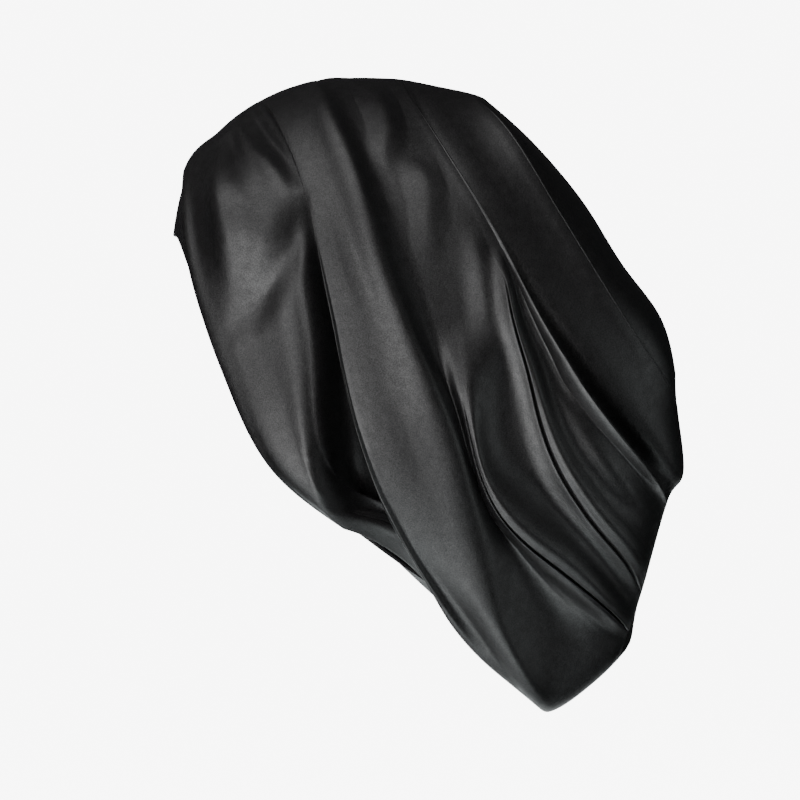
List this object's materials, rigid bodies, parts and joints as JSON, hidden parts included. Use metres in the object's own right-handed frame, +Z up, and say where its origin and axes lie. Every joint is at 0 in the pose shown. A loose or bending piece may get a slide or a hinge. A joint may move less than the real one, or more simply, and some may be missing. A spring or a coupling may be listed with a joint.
{
  "type": "silk hair wrap",
  "caption": "Gathered silk head wrap, open at the face, with deep pleats over one side, a soft pouch for the hair, a tail behind the neck and a flat brow band.",
  "frame": {"origin": "where the crown of the head meets the inside of the cloth", "axes": "+X from the brow to the back of the head, +Y to the plain side, +Z up; the side with the deep pleats faces -Y"},
  "size_m": [0.2559, 0.1868, 0.3185],
  "materials": {
    "silk": "black silk charmeuse, satin face out, soft broad sheen",
    "band_silk": "black silk charmeuse over a flat elastic, satin"
  },
  "bodies": {
    "root": {"silk_wrap": "silk", "brow_band": "band_silk"}
  },
  "joints": []
}
